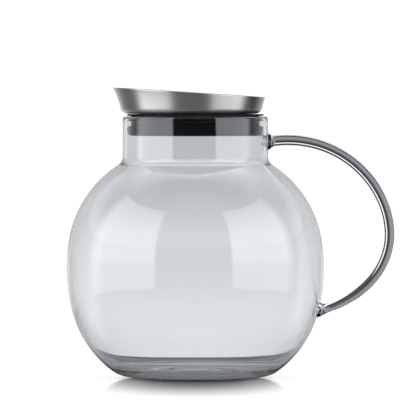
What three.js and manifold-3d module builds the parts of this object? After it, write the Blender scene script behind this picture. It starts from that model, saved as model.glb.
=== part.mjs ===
// Glass pitcher with a pouring lid: a blown glass globe with a welded rod handle, closed by a slanted steel
// bowl on a finned silicone seal. A gravity flap in the bowl opens when the pitcher is tipped.
// Millimetres, +Z up. The origin is the centre of the base, the spout points to -X and the handle to +X.
import * as THREE from 'three';
import { mergeVertices } from 'three/addons/utils/BufferGeometryUtils.js';
import Module from 'manifold-3d';

const wasm = await Module();
wasm.setup();

// Glass globe: an upper and a lower superellipse that meet at the belly
const bodyRadius = 80;
const bellyHeight = 70.8;
const shoulderRise = 74.7;
const shoulderFullness = 2.13;
const lowerDrop = 80.3;
const lowerFullness = 2.36;
const bodyWall = 2;
const heelWall = 4.2;
const heelWallHeight = 30;
const baseThickness = 4.5;
const heelRise = 3;
const heelRun = 5;
const innerHeelRise = 8;
const innerHeelRun = 14;

// Glass neck
const neckRadius = 45.2;
const neckWall = 2.4;
const rimHeight = 162.4;
const neckFillet = 6.5;

// Rod handle: two cubic curves in the XZ plane, from the neck out to the furthest point and back to the globe
const handleDrop = 15.6;
const handleRise = THREE.MathUtils.degToRad(9.5);
const handleTopPull = 44.6;
const fingerRoom = 40.9;
const handleBellyRise = 18.3;
const handleUpperPull = 31.7;
const handleLowerPull = 21.6;
const handleFootDrop = 29.9;
const handleFootSink = 7.2;
const handleFootRise = THREE.MathUtils.degToRad(11);
const handleFootPull = 31.6;
const rodTopRadius = 3.3;
const rodFootRadius = 2.8;
const weldRadius = 4.7;
const weldLength = 3.2;

// Clearances
const weldGap = 0.3;
const sealGap = 0.3;
const turnGap = 0.3;
const seatGap = 0.2;
const pinGap = 0.3;

// Silicone seal, measured from the rim of the glass
const lidLift = 1.85;
const plugDepth = 11.9;
const finReach = 2.5;
const finTip = 1;
const finRoot = 2.6;
const upperFinDrop = 2.3;
const lowerFinRise = 2;
const sealWall = 2.7;

// Steel parts
const sheet = 0.8;
const bowlShift = 2.5;
const bowlFloorInset = 0.2;
const bowlCorner = 4.4;
const bowlLean = THREE.MathUtils.degToRad(16);
const bowlBackHeight = 10.4;
const bowlFrontHeight = 16.4;
const lipFlare = 1.1;
const lipFocus = 3;
const skirtBead = 1;
const skirtLip = 1.8;
const skirtFlange = 3;
const skirtRaise = 0.4;
const skirtBeadRise = 6;

// Strainer and the spring ring that holds it
const strainerPitch = 7.2;
const strainerHole = 1.6;
const strainerMargin = 2.8;
const ringWire = 0.6;
const ringOpening = THREE.MathUtils.degToRad(24);

// Flap, its hinge and its seat
const bracketMargin = 6;
const bracketLength = 8;
const hingeReach = 2.6;
const flapMargin = 10;
const flapOverlap = 3.5;
const flapSheet = 0.9;
const flapCrown = 1.2;
const tongueLap = 6;
const gasketInset = 1.5;
const gasketReach = 2.5;
const gasketLip = 0.8;
const pinRadius = 0.9;
const pinHeadRadius = 1.6;
const pinHead = 0.8;
const knuckleWall = 0.9;
const knuckleWidth = 14;
const bracketSheet = 0.9;

// Facets
const roundSides = 48;
const smallSides = 24;
const rodSides = 12;
const rodSteps = 56;
const wireSides = 6;
const holeSides = 6;
const globeSteps = 14;
const cornerSteps = 4;
const halvings = 60;

// Sizes that follow from the ones above
const boreRadius = neckRadius - neckWall;
const finRadius = boreRadius - sealGap;
const sealRadius = finRadius - finReach;
const skirtRadius = sealRadius - sealWall - turnGap;
const skirtBore = skirtRadius - sheet;
const lidZ = rimHeight + lidLift;
const sealBottom = rimHeight - plugDepth;
const sealTop = lidZ - turnGap;
const skirtBottom = sealBottom + skirtRaise;
const beadZ = sealBottom + skirtBeadRise;
const strainerZ = skirtBottom + sheet + seatGap;
const floorTop = lidZ + sheet;
const floorRadius = sealRadius - bowlFloorInset;
const pinX = -bowlShift + floorRadius - bracketMargin - bracketLength;
const flapBack = pinX - hingeReach;
const flapFront = -bowlShift - floorRadius + flapMargin;
const flapRadius = (flapBack - flapFront) / 2;
const flapX = (flapBack + flapFront) / 2;
const portRadius = flapRadius - flapOverlap;
const gasketTop = floorTop + seatGap + gasketLip;
const flapBottom = gasketTop + turnGap;
const knuckleBore = pinRadius + pinGap;
const knuckleRadius = knuckleBore + knuckleWall;
const pinZ = floorTop + turnGap + knuckleRadius;

// Materials
const glass = new THREE.MeshStandardMaterial({ color: 0xdfe4e8, roughness: 0.03, metalness: 0 });
glass.transparent = true;
glass.opacity = 0.35;
const brushedSteel = new THREE.MeshStandardMaterial({ color: 0xb9b8b5, roughness: 0.32, metalness: 1 });
const polishedSteel = new THREE.MeshStandardMaterial({ color: 0xc9cacb, roughness: 0.18, metalness: 1 });
const silicone = new THREE.MeshStandardMaterial({ color: 0x17191c, roughness: 0.55, metalness: 0 });

// A closed mesh as a solid, and back
function solidOf(geometry) {
  const bare = geometry.clone();
  bare.deleteAttribute('normal');
  bare.deleteAttribute('uv');
  const merged = mergeVertices(bare, 1e-4);
  const vertProperties = merged.attributes.position.array;
  return new wasm.Manifold(new wasm.Mesh({ numProp: 3, vertProperties, triVerts: merged.index.array }));
}

function geometryOf(solid) {
  const mesh = solid.getMesh();
  const made = new THREE.BufferGeometry();
  made.setAttribute('position', new THREE.BufferAttribute(mesh.vertProperties, 3));
  made.setIndex(new THREE.BufferAttribute(mesh.triVerts, 1));
  made.computeVertexNormals();
  return made;
}

function meshOf(name, geometry, material) {
  const mesh = new THREE.Mesh(geometry, material);
  mesh.name = name;
  return mesh;
}

// A profile of (radius, height) points turned about the Z axis
function turned(points, sides) {
  return new THREE.LatheGeometry(points, sides).rotateX(Math.PI / 2);
}

// A closed ring: the profile's first point is repeated at its end
function turnedRing(points, sides) {
  return turned([...points, points[0].clone()], sides);
}

// Rings of points, each joined to the next one, and the last one to the first
function ringedSurface(rings) {
  const sides = rings[0].length;
  const positions = rings.flat().flatMap((p) => [p.x, p.y, p.z]);
  const index = [];
  rings.forEach((_, j) => {
    const next = (j + 1) % rings.length;
    for (let i = 0; i < sides; i++) {
      const k = (i + 1) % sides;
      index.push(j * sides + i, j * sides + k, next * sides + k);
      index.push(j * sides + i, next * sides + k, next * sides + i);
    }
  });
  const made = new THREE.BufferGeometry();
  made.setAttribute('position', new THREE.Float32BufferAttribute(positions, 3));
  made.setIndex(index);
  made.computeVertexNormals();
  return made;
}

// A round rod along a flat curve, with a radius that may change on the way
function rodGeometry(curve, planeNormal, radiusAt, steps, sides) {
  const positions = [];
  const index = [];
  for (let j = 0; j <= steps; j++) {
    const centre = curve.getPointAt(j / steps);
    const side = new THREE.Vector3().crossVectors(curve.getTangentAt(j / steps), planeNormal).normalize();
    const radius = radiusAt(j / steps);
    for (let i = 0; i < sides; i++) {
      const turn = (2 * Math.PI * i) / sides;
      const point = centre.clone();
      point.addScaledVector(side, radius * Math.cos(turn));
      point.addScaledVector(planeNormal, radius * Math.sin(turn));
      positions.push(...point.toArray());
    }
  }
  for (let j = 0; j < steps; j++) {
    for (let i = 0; i < sides; i++) {
      const k = (i + 1) % sides;
      index.push(j * sides + i, (j + 1) * sides + k, j * sides + k);
      index.push(j * sides + i, (j + 1) * sides + i, (j + 1) * sides + k);
    }
  }
  const last = steps * sides;
  for (let i = 1; i < sides - 1; i++) {
    index.push(0, i, i + 1);
    index.push(last, last + i + 1, last + i);
  }
  const made = new THREE.BufferGeometry();
  made.setAttribute('position', new THREE.Float32BufferAttribute(positions, 3));
  made.setIndex(index);
  made.computeVertexNormals();
  return made;
}

// A point of the globe's outline, offset outwards; the angle runs from -90 degrees below to 90 degrees above
function globePoint(angle, offset) {
  const upper = angle >= 0;
  const fullness = upper ? shoulderFullness : lowerFullness;
  const rise = upper ? shoulderRise : lowerDrop;
  const sign = upper ? 1 : -1;
  const across = Math.cos(angle) ** (2 / fullness);
  const along = Math.abs(Math.sin(angle)) ** (2 / fullness);
  const normal = new THREE.Vector2(
    across ** (fullness - 1) / bodyRadius,
    (sign * along ** (fullness - 1)) / rise,
  ).normalize();
  const point = new THREE.Vector2(bodyRadius * across, bellyHeight + sign * rise * along);
  return point.addScaledVector(normal, offset);
}

// The angle between the belly and either pole where a falling function of it reaches zero
function angleOfZero(falling) {
  let low = 0;
  let high = Math.PI / 2;
  for (let i = 0; i < halvings; i++) {
    const middle = (low + high) / 2;
    if (falling(middle) > 0) low = middle;
    else high = middle;
  }
  return (low + high) / 2;
}

// The glass gets thicker from the belly down to the heel
const wallAt = (angle) => {
  const height = globePoint(angle, 0).y;
  return bodyWall + (heelWall - bodyWall) * (1 - THREE.MathUtils.smoothstep(height, 0, heelWallHeight));
};

// The hollow curve between the globe and the neck, from the globe up
function shoulderFillet(globeOffset, wallRadius, radius) {
  const centreAt = (angle) => globePoint(angle, globeOffset + radius);
  const angle = angleOfZero((a) => centreAt(a).x - wallRadius - radius);
  const centre = centreAt(angle);
  const foot = globePoint(angle, globeOffset);
  const start = Math.atan2(foot.y - centre.y, foot.x - centre.x);
  const end = start < 0 ? -Math.PI : Math.PI;
  const points = Array.from({ length: cornerSteps + 1 }, (_, i) => {
    const a = start + ((end - start) * i) / cornerSteps;
    return new THREE.Vector2(centre.x + radius * Math.cos(a), centre.y + radius * Math.sin(a));
  });
  return { angle, points };
}

// The rounded corner between the globe's lower curve and a flat floor, from the floor out
function heelCurve(offsetAt, floor, rise, run) {
  const heightAt = (angle) => globePoint(-angle, offsetAt(-angle)).y;
  const cornerAngle = -angleOfZero((a) => heightAt(a) - floor);
  const upperAngle = -angleOfZero((a) => heightAt(a) - floor - rise);
  const corner = new THREE.Vector2(globePoint(cornerAngle, offsetAt(cornerAngle)).x, floor);
  const inner = new THREE.Vector2(corner.x - run, floor);
  const upper = globePoint(upperAngle, offsetAt(upperAngle));
  const bend = new THREE.QuadraticBezierCurve(inner, corner, upper);
  return { angle: upperAngle, points: bend.getPoints(cornerSteps) };
}

// Points of the globe between two angles, without the ends
function globeStretch(from, to, offsetAt) {
  return Array.from({ length: globeSteps - 1 }, (_, i) => {
    const angle = from + ((to - from) * (i + 1)) / globeSteps;
    return globePoint(angle, offsetAt(angle));
  });
}

// One side of the glass from its floor to the top of the neck's straight wall
function glassSide(offsetAt, floor, rise, run, wallRadius, fillet, top) {
  const heel = heelCurve(offsetAt, floor, rise, run);
  const shoulder = shoulderFillet(offsetAt(0), wallRadius, fillet);
  return [
    new THREE.Vector2(0, floor),
    ...heel.points,
    ...globeStretch(heel.angle, shoulder.angle, offsetAt),
    ...shoulder.points,
    new THREE.Vector2(wallRadius, top),
  ];
}

// Glass globe and neck: the outside up, round the fire-polished rim, and the inside down
function glassBody() {
  const rimRadius = neckWall / 2;
  const straightTop = rimHeight - rimRadius;
  const outside = glassSide(() => 0, 0, heelRise, heelRun, neckRadius, neckFillet, straightTop);
  const rim = Array.from({ length: cornerSteps - 1 }, (_, i) => {
    const a = (Math.PI * (i + 1)) / cornerSteps;
    const radius = neckRadius - rimRadius + rimRadius * Math.cos(a);
    return new THREE.Vector2(radius, straightTop + rimRadius * Math.sin(a));
  });
  const inside = glassSide((angle) => -wallAt(angle), baseThickness, innerHeelRise, innerHeelRun,
    boreRadius, neckFillet + bodyWall, straightTop);
  return meshOf('glass_body', turned([...outside, ...rim, ...inside.reverse()], roundSides), glass);
}

// Rod handle, flared where it is welded and cut back to the glass
function glassHandle() {
  const at = (x, z) => new THREE.Vector3(x, 0, z);
  const ahead = (from, angle, length) => {
    return at(from.x + length * Math.cos(angle), from.z + length * Math.sin(angle));
  };
  const start = at(neckRadius, rimHeight - handleDrop);
  const furthest = at(bodyRadius + fingerRoom, bellyHeight + handleBellyRise);
  const foot = at(bodyRadius - handleFootSink, bellyHeight - handleFootDrop);
  const path = new THREE.CurvePath();
  path.add(new THREE.CubicBezierCurve3(start, ahead(start, handleRise, handleTopPull),
    at(furthest.x, furthest.z + handleUpperPull), furthest));
  path.add(new THREE.CubicBezierCurve3(furthest, at(furthest.x, furthest.z - handleLowerPull),
    ahead(foot, handleFootRise, handleFootPull), foot));
  const length = path.getLength();
  const footSurface = bodyRadius - handleFootSink / 2;
  const sunk = footSurface - foot.x;
  const radiusAt = (share) => {
    const rod = THREE.MathUtils.lerp(rodTopRadius, rodFootRadius, share);
    const free = Math.max(0, Math.min(share * length, (1 - share) * length - sunk));
    return rod + (weldRadius - rod) * Math.exp(-((free / weldLength) ** 2));
  };
  const rod = solidOf(rodGeometry(path, new THREE.Vector3(0, 1, 0), radiusAt, rodSteps, rodSides));
  const envelope = [
    ...glassSide(() => weldGap, -weldGap, heelRise, heelRun,
      neckRadius + weldGap, neckFillet - weldGap, rimHeight),
    new THREE.Vector2(0, rimHeight),
  ];
  return meshOf('glass_handle', geometryOf(rod.subtract(solidOf(turned(envelope, roundSides)))), glass);
}

// Silicone seal: a collar with two fins that press on the bore, and an inner groove for the skirt's bead
function sealRing() {
  const bore = skirtRadius + turnGap;
  const groove = bore + skirtBead;
  const grooveHalf = skirtBead + turnGap;
  const fin = (middle) => [
    new THREE.Vector2(sealRadius, middle - finRoot / 2),
    new THREE.Vector2(finRadius, middle - finTip / 2),
    new THREE.Vector2(finRadius, middle + finTip / 2),
    new THREE.Vector2(sealRadius, middle + finRoot / 2),
  ];
  return meshOf('seal_ring', turnedRing([
    new THREE.Vector2(bore, sealBottom),
    new THREE.Vector2(sealRadius - finTip, sealBottom),
    ...fin(sealBottom + lowerFinRise),
    ...fin(rimHeight - upperFinDrop),
    new THREE.Vector2(sealRadius, sealTop),
    new THREE.Vector2(bore, sealTop),
    new THREE.Vector2(bore, beadZ + grooveHalf),
    new THREE.Vector2(groove, beadZ + turnGap),
    new THREE.Vector2(groove, beadZ - turnGap),
    new THREE.Vector2(bore, beadZ - grooveHalf),
  ], roundSides), silicone);
}

// Steel bowl: a round floor with a port, a rounded corner and a leaning wall cut by a slanted plane
function lidBowl() {
  const lean = Math.tan(bowlLean);
  const wallFoot = floorRadius + bowlCorner * Math.cos(bowlLean);
  const wallFootHeight = bowlCorner * (1 - Math.sin(bowlLean));
  const backRadius = wallFoot + (bowlBackHeight - wallFootHeight) * lean;
  const frontRadius = wallFoot + (bowlFrontHeight - wallFootHeight) * lean;
  const slant = (bowlFrontHeight - bowlBackHeight) / (frontRadius + backRadius);
  const middleHeight = bowlBackHeight + slant * backRadius;
  const rimAt = (turn) => {
    const pull = slant * Math.cos(turn);
    return (middleHeight + pull * (wallFoot - wallFootHeight * lean)) / (1 - pull * lean);
  };
  const around = (shape) => Array.from({ length: roundSides }, (_, i) => {
    const turn = (2 * Math.PI * i) / roundSides;
    const { x, radius, z } = shape(turn);
    return new THREE.Vector3(x - radius * Math.cos(turn), -radius * Math.sin(turn), lidZ + z);
  });
  const flat = (radius, z, x) => around(() => ({ x, radius, z }));
  const corner = (radius, inset, share) => {
    const a = share * (Math.PI / 2 - bowlLean);
    return flat(floorRadius + radius * Math.sin(a), inset + radius * (1 - Math.cos(a)), -bowlShift);
  };
  const wall = (inset, share) => around((turn) => {
    const height = THREE.MathUtils.lerp(wallFootHeight, rimAt(turn), share);
    const spout = ((1 + Math.cos(turn)) / 2) ** lipFocus;
    const radius = wallFoot + (height - wallFootHeight) * lean + lipFlare * spout * share ** 3 - inset;
    return { x: -bowlShift, radius, z: height };
  });
  const innerCorner = bowlCorner - sheet;
  const skin = sheet / Math.cos(bowlLean);
  const outer = [0, 1 / 3, 2 / 3].map((share) => corner(bowlCorner, 0, share));
  const inner = [2 / 3, 1 / 3, 0].map((share) => corner(innerCorner, sheet, share));
  const wallShares = [0, 0.5, 0.8, 1];
  return meshOf('lid_bowl', ringedSurface([
    flat(portRadius, 0, flapX),
    ...outer,
    ...wallShares.map((share) => wall(0, share)),
    ...wallShares.toReversed().map((share) => wall(skin, share)),
    ...inner,
    flat(portRadius, sheet, flapX),
  ]), brushedSteel);
}

// Steel skirt under the bowl: a tube with a weld flange on top, a bead that holds the seal and a lip below
function plugSkirt() {
  const top = lidZ - seatGap;
  return meshOf('plug_skirt', turnedRing([
    new THREE.Vector2(skirtBore - skirtLip, skirtBottom),
    new THREE.Vector2(skirtRadius, skirtBottom),
    new THREE.Vector2(skirtRadius, beadZ - skirtBead),
    new THREE.Vector2(skirtRadius + skirtBead, beadZ),
    new THREE.Vector2(skirtRadius, beadZ + skirtBead),
    new THREE.Vector2(skirtRadius, top),
    new THREE.Vector2(skirtBore - skirtFlange, top),
    new THREE.Vector2(skirtBore - skirtFlange, top - sheet),
    new THREE.Vector2(skirtBore, top - sheet),
    new THREE.Vector2(skirtBore, skirtBottom + sheet),
    new THREE.Vector2(skirtBore - skirtLip, skirtBottom + sheet),
  ], roundSides), polishedSteel);
}

// Perforated steel disc that lies on the skirt's lip
function strainer() {
  const radius = skirtBore - seatGap;
  const circle = (x, y, r, sides) => Array.from({ length: sides }, (_, i) => {
    const turn = (2 * Math.PI * i) / sides;
    return new THREE.Vector2(x + r * Math.cos(turn), y + r * Math.sin(turn));
  });
  const disc = new THREE.Shape(circle(0, 0, radius, roundSides));
  const rowStep = (strainerPitch * Math.sqrt(3)) / 2;
  const rows = Math.ceil(radius / rowStep);
  const holeLimit = radius - strainerMargin - strainerHole;
  for (let row = -rows; row <= rows; row++) {
    const shift = row % 2 === 0 ? 0 : strainerPitch / 2;
    for (let column = -rows - 1; column <= rows + 1; column++) {
      const x = column * strainerPitch + shift;
      const y = row * rowStep;
      if (Math.hypot(x, y) > holeLimit) continue;
      disc.holes.push(new THREE.Path(circle(x, y, strainerHole, holeSides)));
    }
  }
  const plate = new THREE.ExtrudeGeometry(disc, { depth: sheet, bevelEnabled: false });
  const mesh = meshOf('strainer', plate, polishedSteel);
  mesh.position.z = strainerZ;
  return mesh;
}

// Split ring of spring wire that keeps the strainer on its lip
function strainerRing() {
  const radius = skirtBore - seatGap - ringWire;
  const bend = new THREE.Curve();
  bend.getPoint = (share, target = new THREE.Vector3()) => {
    const turn = ringOpening / 2 + share * (2 * Math.PI - ringOpening);
    return target.set(radius * Math.cos(turn), radius * Math.sin(turn), 0);
  };
  const wire = rodGeometry(bend, new THREE.Vector3(0, 0, 1), () => ringWire, roundSides, wireSides);
  const mesh = meshOf('strainer_ring', wire, polishedSteel);
  mesh.position.z = strainerZ + sheet + seatGap + ringWire;
  return mesh;
}

// Silicone grommet on the edge of the port, the soft seat of the flap
function portGasket() {
  const inner = portRadius - gasketInset;
  const groove = portRadius - seatGap;
  const outer = portRadius + gasketReach;
  const under = lidZ - seatGap;
  const over = floorTop + seatGap;
  const mesh = meshOf('port_gasket', turnedRing([
    new THREE.Vector2(inner, under - gasketLip),
    new THREE.Vector2(outer, under - gasketLip),
    new THREE.Vector2(outer, under),
    new THREE.Vector2(groove, under),
    new THREE.Vector2(groove, over),
    new THREE.Vector2(outer, over),
    new THREE.Vector2(outer, gasketTop),
    new THREE.Vector2(inner, gasketTop),
  ], roundSides), silicone);
  mesh.position.x = flapX;
  return mesh;
}

// A cylinder along Y, centred on the hinge axis
function hingeCylinder(radius, length) {
  return new THREE.CylinderGeometry(radius, radius, length, smallSides).translate(pinX, 0, pinZ);
}

// Steel flap: a crowned disc with a tongue that rolls round the hinge pin
function pourFlap() {
  const top = flapBottom + flapSheet;
  const crown = [0, 0.25, 0.5, 0.75].map((share) => {
    const a = (share * Math.PI) / 2;
    return new THREE.Vector2(flapRadius * Math.cos(a) ** 0.5, top + flapCrown * Math.sin(a) ** 2);
  });
  const disc = turned([
    new THREE.Vector2(0, flapBottom),
    new THREE.Vector2(flapRadius, flapBottom),
    ...crown,
    new THREE.Vector2(0, top + flapCrown),
  ], roundSides).translate(flapX, 0, 0);
  const tongueLength = pinX - flapBack + tongueLap;
  const tongue = new THREE.BoxGeometry(tongueLength, knuckleWidth, flapSheet);
  tongue.translate(pinX - tongueLength / 2, 0, flapBottom + flapSheet / 2);
  const knuckle = hingeCylinder(knuckleRadius, knuckleWidth);
  const bore = hingeCylinder(knuckleBore, 2 * knuckleWidth);
  const solid = solidOf(disc).add(solidOf(tongue)).add(solidOf(knuckle)).subtract(solidOf(bore));
  return meshOf('pour_flap', geometryOf(solid), polishedSteel);
}

// Steel bracket: a foot on the bowl's floor between two ears that carry the pin
function hingeBracket() {
  const bottom = floorTop + seatGap;
  const earShift = knuckleWidth / 2 + turnGap;
  const earRadius = knuckleRadius;
  const outline = new THREE.Shape();
  outline.moveTo(pinX - earRadius, bottom);
  outline.lineTo(pinX + bracketLength, bottom);
  outline.lineTo(pinX + bracketLength, bottom + bracketSheet);
  outline.lineTo(pinX + earRadius, pinZ);
  outline.absarc(pinX, pinZ, earRadius, 0, Math.PI, false);
  outline.closePath();
  const ear = (y) => {
    const plate = new THREE.ExtrudeGeometry(outline, {
      depth: bracketSheet,
      bevelEnabled: false,
      curveSegments: smallSides / 2,
    });
    return solidOf(plate.rotateX(Math.PI / 2).translate(0, y + bracketSheet, 0));
  };
  const footLength = bracketLength - knuckleRadius - turnGap;
  const foot = new THREE.BoxGeometry(footLength, 2 * earShift + bracketSheet, bracketSheet);
  foot.translate(pinX + bracketLength - footLength / 2, 0, bottom + bracketSheet / 2);
  const bore = hingeCylinder(knuckleBore, 4 * knuckleWidth);
  const solid = solidOf(foot).add(ear(earShift)).add(ear(-earShift - bracketSheet)).subtract(solidOf(bore));
  return meshOf('hinge_bracket', geometryOf(solid), polishedSteel);
}

// Headed pin through the ears and the knuckle
function hingePin() {
  const shank = knuckleWidth / 2 + turnGap + bracketSheet + seatGap;
  const end = shank + pinHead;
  const profile = [
    new THREE.Vector2(0, -end),
    new THREE.Vector2(pinHeadRadius, -end),
    new THREE.Vector2(pinHeadRadius, -shank),
    new THREE.Vector2(pinRadius, -shank),
    new THREE.Vector2(pinRadius, shank),
    new THREE.Vector2(pinHeadRadius, shank),
    new THREE.Vector2(pinHeadRadius, end),
    new THREE.Vector2(0, end),
  ];
  const mesh = meshOf('hinge_pin', new THREE.LatheGeometry(profile, smallSides), polishedSteel);
  mesh.position.set(pinX, 0, pinZ);
  return mesh;
}

const lid = new THREE.Group();
lid.add(lidBowl(), plugSkirt(), strainer(), strainerRing());
lid.add(portGasket(), pourFlap(), hingeBracket(), hingePin());

const pitcher = new THREE.Group();
pitcher.add(glassBody(), glassHandle(), sealRing(), lid);

export default pitcher;
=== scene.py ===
# Glass pitcher with a slanted steel pouring lid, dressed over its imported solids. Metres, +Z up.
import math

import bmesh
import bpy
import numpy as np
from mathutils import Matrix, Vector


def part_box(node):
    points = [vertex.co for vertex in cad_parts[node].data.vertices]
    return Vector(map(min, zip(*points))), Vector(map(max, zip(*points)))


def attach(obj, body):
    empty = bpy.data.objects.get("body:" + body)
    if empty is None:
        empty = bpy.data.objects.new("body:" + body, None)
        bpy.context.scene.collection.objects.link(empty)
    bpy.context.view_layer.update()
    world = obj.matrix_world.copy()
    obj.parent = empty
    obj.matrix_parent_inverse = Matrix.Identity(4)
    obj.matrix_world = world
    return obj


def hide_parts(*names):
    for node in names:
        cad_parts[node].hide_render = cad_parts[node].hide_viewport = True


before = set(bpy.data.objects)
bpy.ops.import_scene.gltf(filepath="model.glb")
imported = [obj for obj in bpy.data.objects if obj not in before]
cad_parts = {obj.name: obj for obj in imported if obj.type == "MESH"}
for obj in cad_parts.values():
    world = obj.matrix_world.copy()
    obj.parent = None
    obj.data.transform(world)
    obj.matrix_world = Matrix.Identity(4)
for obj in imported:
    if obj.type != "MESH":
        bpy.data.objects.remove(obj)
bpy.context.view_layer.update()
print("frame loaded:", ", ".join(sorted(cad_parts)))

mergeDistance = 1e-7


# Quads of a grid: each one joins a point to its neighbours in the next column and the next row.
# Columns always close up, and rows do so where the grid is a ring.
def gridQuads(rows, columns, ring):
    row, column = np.meshgrid(np.arange(rows - (not ring)), np.arange(columns), indexing="ij")
    nextRow, nextColumn = (row + 1) % rows, (column + 1) % columns
    corners = ((row, column), (row, nextColumn), (nextRow, nextColumn), (nextRow, column))
    return np.stack([r * columns + c for r, c in corners], -1).reshape(-1, 4)


# One piece from one or more closed grids of points.
def surfacePiece(name, grids, material, sharp=40, ring=False):
    mesh = bpy.data.meshes.new(name)
    points, quads, start = [], [], 0
    for grid in grids:
        rows, columns = grid.shape[:2]
        points.append(grid.reshape(-1, 3))
        quads.append(gridQuads(rows, columns, ring) + start)
        start += rows * columns
    mesh.from_pydata(np.concatenate(points).tolist(), [], np.concatenate(quads).tolist())
    return finishPiece(name, mesh, material, sharp)


# Poles are merged, faces of many sides split, all turned outwards, and edges past the angle kept sharp.
def finishPiece(name, mesh, material, sharp):
    work = bmesh.new()
    work.from_mesh(mesh)
    bmesh.ops.remove_doubles(work, verts=work.verts, dist=mergeDistance)
    many = [face for face in work.faces if len(face.verts) > 4]
    bmesh.ops.triangulate(work, faces=many, ngon_method="BEAUTY")
    bmesh.ops.recalc_face_normals(work, faces=work.faces)
    work.to_mesh(mesh)
    work.free()
    mesh.polygons.foreach_set("use_smooth", np.ones(len(mesh.polygons), bool))
    mesh.set_sharp_from_angle(angle=math.radians(sharp))
    mesh.materials.clear()
    mesh.materials.append(material)
    piece = bpy.data.objects.new(name, mesh)
    bpy.context.scene.collection.objects.link(piece)
    return piece


# The result of one boolean between two pieces, as a new piece; the two are removed.
def combined(name, first, second, operation, material, sharp=40):
    cut = first.modifiers.new("combine", "BOOLEAN")
    cut.object, cut.operation, cut.solver = second, operation, "EXACT"
    solved = first.evaluated_get(bpy.context.evaluated_depsgraph_get())
    mesh = bpy.data.meshes.new_from_object(solved)
    mesh.name = name
    for used in (first, second):
        bpy.data.objects.remove(used)
    return finishPiece(name, mesh, material, sharp)


# Names what a finished piece moves with and the nodes that it stands for.
def fitPiece(piece, body, slot, *nodes):
    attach(piece, body)
    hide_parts(*nodes)
    print(piece.name, "made:", len(piece.data.polygons), "faces")


# Even angles once round
def fullTurn(columns):
    return np.linspace(0, 2 * np.pi, columns, endpoint=False)


# A profile of (radius, height) turned about Z: every row is a circle of that radius at that height.
def lathe(profile, columns, centre=(0, 0)):
    turn = fullTurn(columns)
    x = centre[0] + profile[:, :1] * np.cos(turn)
    y = centre[1] + profile[:, :1] * np.sin(turn)
    return np.stack([x, y, np.broadcast_to(profile[:, 1:], x.shape)], -1)


# A tube's grid, closed at both ends by a row that is gathered in the middle of the end ring.
def capped(grid):
    ends = [np.broadcast_to(grid[i].mean(0), (1,) + grid.shape[1:]) for i in (0, -1)]
    return np.concatenate([ends[0], grid, ends[1]])


# A corner list (radius, height, rounding) as an outline: each corner is an arc tangent to its two sides.
def roundedOutline(corners, steps=5):
    corners = np.asarray(corners, float)
    spot, rounding = corners[:, :2], corners[:, 2:]
    back = np.roll(spot, 1, 0) - spot
    ahead = np.roll(spot, -1, 0) - spot
    back /= np.linalg.norm(back, axis=1, keepdims=True)
    ahead /= np.linalg.norm(ahead, axis=1, keepdims=True)
    half = np.arccos(np.clip((back * ahead).sum(1, keepdims=True), -1, 1)) / 2
    reach = rounding / np.tan(half)
    first, last = spot + back * reach, spot + ahead * reach
    share = np.linspace(0, 1, steps)[None, :, None]
    weight = np.sin(half)[:, :, None]  # middle weight of a circular arc written as a rational curve
    a, b, c = (1 - share) ** 2, 2 * share * (1 - share) * weight, share ** 2
    arc = (a * first[:, None] + b * spot[:, None] + c * last[:, None]) / (a + b + c)
    return arc.reshape(-1, 2)


# A rectangle with four equal round corners, as an outline.
def roundedRectangle(low, high, rounding):
    corners = ((low[0], low[1]), (high[0], low[1]), (high[0], high[1]), (low[0], high[1]))
    return roundedOutline([(x, y, rounding) for x, y in corners])


# A flat plate with a convex outline: out from its lower middle, over a rounded edge, and back in above.
def plateGrid(outline, low, high, edge):
    middle = outline.mean(0)
    reach = np.linalg.norm(outline - middle, axis=1, keepdims=True)
    bend = np.linspace(0, np.pi / 2, 4)
    falling, rising = edge * (1 - np.sin(bend)), edge * (1 - np.cos(bend))
    inset = np.concatenate([[1], falling, rising, [1]])  # an inset of 1 ends in the middle
    height = np.concatenate([[low], low + rising, high - falling, [high]])
    keep = np.clip(1 - inset[:, None, None] / reach[None], 0, 1)
    flat = middle + (outline - middle)[None] * keep
    return np.concatenate([flat, np.broadcast_to(height[:, None, None], flat.shape[:2] + (1,))], -1)


# 0 below the first limit, 1 above the second, and t squared times 3 - 2 t between them.
def smoothStep(low, high, value):
    t = np.clip((value - low) / (high - low), 0, 1)
    return t * t * (3 - 2 * t)


# Node helpers: a node with its plain values set, and a link from a socket into each named input
def addNode(tree, kind, values=None, links=None, **settings):
    node = tree.nodes.new(kind)
    for key, value in settings.items():
        setattr(node, key, value)
    for key, value in (values or {}).items():
        node.inputs[key].default_value = value
    for key, source in (links or {}).items():
        tree.links.new(source, node.inputs[key])
    return node


def newMaterial(name):
    material = bpy.data.materials.new(name)
    material.use_nodes = True
    tree = material.node_tree
    tree.nodes.clear()
    return material, tree, addNode(tree, "ShaderNodeOutputMaterial")


def newGroup(name, inputs, outputs):
    tree = bpy.data.node_groups.new(name, "ShaderNodeTree")
    for label, kind, value in inputs:
        socket = tree.interface.new_socket(label, in_out="INPUT", socket_type=kind)
        if value is not None:
            socket.default_value = value
    for label, kind in outputs:
        tree.interface.new_socket(label, in_out="OUTPUT", socket_type=kind)
    return tree, addNode(tree, "NodeGroupInput"), addNode(tree, "NodeGroupOutput")


def addPrincipled(tree, out, values, links):
    shader = addNode(tree, "ShaderNodeBsdfPrincipled", values, links)
    tree.links.new(shader.outputs[0], out.inputs["Surface"])


# Grey tones at shares of a value, as (share, tone) stops
def toneRamp(tree, source, stops, blend="LINEAR"):
    ramp = addNode(tree, "ShaderNodeValToRGB", links={0: source})
    ramp.color_ramp.interpolation = blend
    steps = ramp.color_ramp.elements
    steps[0].position, steps[1].position = stops[0][0], stops[-1][0]
    for stop in stops[1:-1]:
        steps.new(stop[0])
    for step, (spot, tone) in zip(steps, stops):
        step.color = (tone, tone, tone, 1)
    return ramp.outputs[0]


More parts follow.
